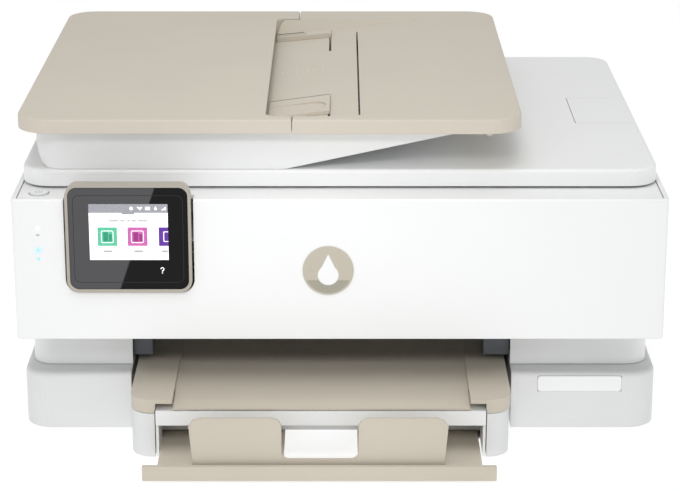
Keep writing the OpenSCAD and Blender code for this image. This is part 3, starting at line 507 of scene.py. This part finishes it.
LED_W = lit("led_white", (0.85, 0.93, 1.0), (1, 1, 1), 1.2)
LED_B = lit("led_blue", srgb("#7FC4F2"), srgb("#A6DCFF"), 0.5)
ICO = plastic("panel_print", srgb("#C4CDD6"), 0.4, 2000, 0.04, 0.00003, 0.03, bevel=0)
o_ = piece("led_upper", [((circ(-212, 160, 1.2, 24), "xz", -0.12, 2), dict(bev=0.08, seg=2, which="lo"))], LED_W, "hood", "light_pipe")
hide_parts("status_lights")
piece("led_lower", [((circ(-212, 143.8, 1.25, 24), "xz", -0.12, 2), dict(bev=0.08, seg=2, which="lo"))], LED_B, "hood", "light_pipe")
# painted glow: a faint pale-cyan disc on the panel around the lower LED stands in for the light spilling from it
LED_HALO_PAINTED = lit("led_halo_painted", srgb("#D3EBF5"), srgb("#E0F2F8"), 0.1)
piece("led_glow_painted", [((circ(-212, 143.8, 3.1, 32), "xz", -0.03, 0.0),)], LED_HALO_PAINTED, "hood", "white_plastic", smooth=False)
piece("led_mark_upper", [((rrect(-213.2, -210.8, 154.2, 155.8, 0.5, 3), "xz", -0.05, 0.0),)], ICO, "hood", "white_plastic", smooth=False)
piece("led_mark_lower", [(([(-213.6, 137.6), (-212, 136.2), (-210.4, 137.6), (-212, 138.6)], "xz", -0.05, 0.0),)], LED_B, "hood", "white_plastic", smooth=False)

# ---------------------------------------------------------------- faint raised page marks on the feeder floor, coloured a lighter beige as a painted highlight; the real marks are the floor's own beige
MARK_PAINTED_HIGHLIGHT = plastic("feeder_mark_painted_highlight", srgb("#DDD6C9"), 0.45, 1700, 0.1, 0.00005, 0.02, bevel=0)


def floor_z(x):
    return 221.3 + (x + 60.0) * (234.0 - 221.3) / 135.0


def floor_bars(name, bars):
    bm = bmesh.new()
    for x0, x1, y0, y1 in bars:
        prism(bm, [(x0, floor_z(x0) - 0.1), (x1, floor_z(x1) - 0.1), (x1, floor_z(x1) + 0.14), (x0, floor_z(x0) + 0.14)], "xz", y0, y1)
    return finish_mesh(name, bm, MARK_PAINTED_HIGHLIGHT, "lid", "beige_plastic", smooth=False)


for k, (xa, xb, ya, yb) in enumerate(((-45.0, -33.5, 192.0, 206.0), (-25.5, -13.5, 196.0, 214.0))):
    q = 0.6
    bars = [(xa, xb, ya, ya + q), (xa, xb, yb - q, yb), (xa, xa + q, ya + q, yb - q), (xb - q, xb, ya + q, yb - q)]
    for t in (0.3, 0.5, 0.7):
        y = ya + (yb - ya) * t
        bars.append((xa + 2.2, xb - 2.2, y, y + 0.6))
    floor_bars("feeder_mark_%d" % k, bars)

# dark colour for strips that paint the shade in the feeder guides' gaps
SHADE_DARK = plastic("painted_shade_dark", srgb("#4A463F"), 0.6, 1500, 0.1, 0.00003, 0.01, 0.3)


def guide_shade_strip(name, body, x0, x1, y0, y1, h0, h1):
    # h0 and h1 are the strip's top above the floor at its two ends
    bm = bmesh.new()
    prism(bm, [(x0, floor_z(x0) + h0 - 0.4), (x1, floor_z(x1) + h1 - 0.4), (x1, floor_z(x1) + h1), (x0, floor_z(x0) + h0)], "xz", y0, y1)
    return finish_mesh(name, bm, SHADE_DARK, body, "beige_plastic", smooth=False)


# painted shade: dark strips in the rear guide's slot and along the foot of the front guide's fence, where the gaps lie
# in shadow
guide_shade_strip("guide_slot_painted_shade", "adf_guides_rear", -51.5, -29.7, 321.45, 324.15, 3.62, 3.62)
guide_shade_strip("guide_fence_painted_shade", "adf_guides_front", -51.6, -8.0, 108.8, 109.8, 1.17, 2.92)

# ---------------------------------------------------------------- floor, light
fl_m = bpy.data.materials.new("pale_floor")
fl_m.use_nodes = True
nt = fl_m.node_tree
bb = nt.nodes["Principled BSDF"]
bb.inputs["Specular IOR Level"].default_value = 0.1
nt.links.new(ramp(nt, noise(nt, 3.0, 4), (0.46, 0.46, 0.465), (0.50, 0.50, 0.50)), bb.inputs["Base Color"])
mrf = nt.nodes.new("ShaderNodeMapRange")
mrf.inputs["To Min"].default_value = 0.7
mrf.inputs["To Max"].default_value = 0.9
nt.links.new(noise(nt, 20, 3), mrf.inputs["Value"])
nt.links.new(mrf.outputs["Result"], bb.inputs["Roughness"])
bb.inputs["Emission Color"].default_value = (1, 1, 1, 1)
bb.inputs["Emission Strength"].default_value = 0.66
bm = bmesh.new()
vs = [bm.verts.new(v) for v in ((-6, -6, 0), (6, -6, 0), (6, 6, 0), (-6, 6, 0))]
bm.faces.new(vs)
me = bpy.data.meshes.new("floor")
bm.to_mesh(me); bm.free()
fo = bpy.data.objects.new("floor", me)
bpy.context.scene.collection.objects.link(fo)
me.materials.append(fl_m)

w = bpy.data.worlds.new("studio")
bpy.context.scene.world = w
w.use_nodes = True
w.node_tree.nodes["Background"].inputs["Color"].default_value = (1.0, 1.0, 1.0, 1)
w.node_tree.nodes["Background"].inputs["Strength"].default_value = 0.58


def area(name, loc, target, size, power, sizey=None, col=(1, 1, 1)):
    l = bpy.data.lights.new(name, "AREA")
    l.shape = "RECTANGLE"
    l.size = size
    l.size_y = sizey or size
    l.energy = power
    l.color = col
    o = bpy.data.objects.new(name, l)
    bpy.context.scene.collection.objects.link(o)
    o.location = loc
    o.rotation_euler = (Vector(target) - Vector(loc)).to_track_quat("-Z", "Y").to_euler()
    return o


area("key", (-0.15, -1.3, 2.2), (-0.05, -0.2, 0.12), 0.9, 7.0, 0.7)
sp = bpy.data.lights.new("front", "SPOT")
sp.energy = 50.0
sp.spot_size = math.radians(18)
sp.spot_blend = 1.0
sp.shadow_soft_size = 0.22
spo = bpy.data.objects.new("front", sp)
bpy.context.scene.collection.objects.link(spo)
spo.location = (-0.10, -1.75, 1.25)
spo.rotation_euler = (Vector((-0.03, -0.155, 0.12)) - Vector(spo.location)).to_track_quat("-Z", "Y").to_euler()
area("top", (-0.1, -0.3, 2.6), (0, 0, 0.1), 1.4, 11)
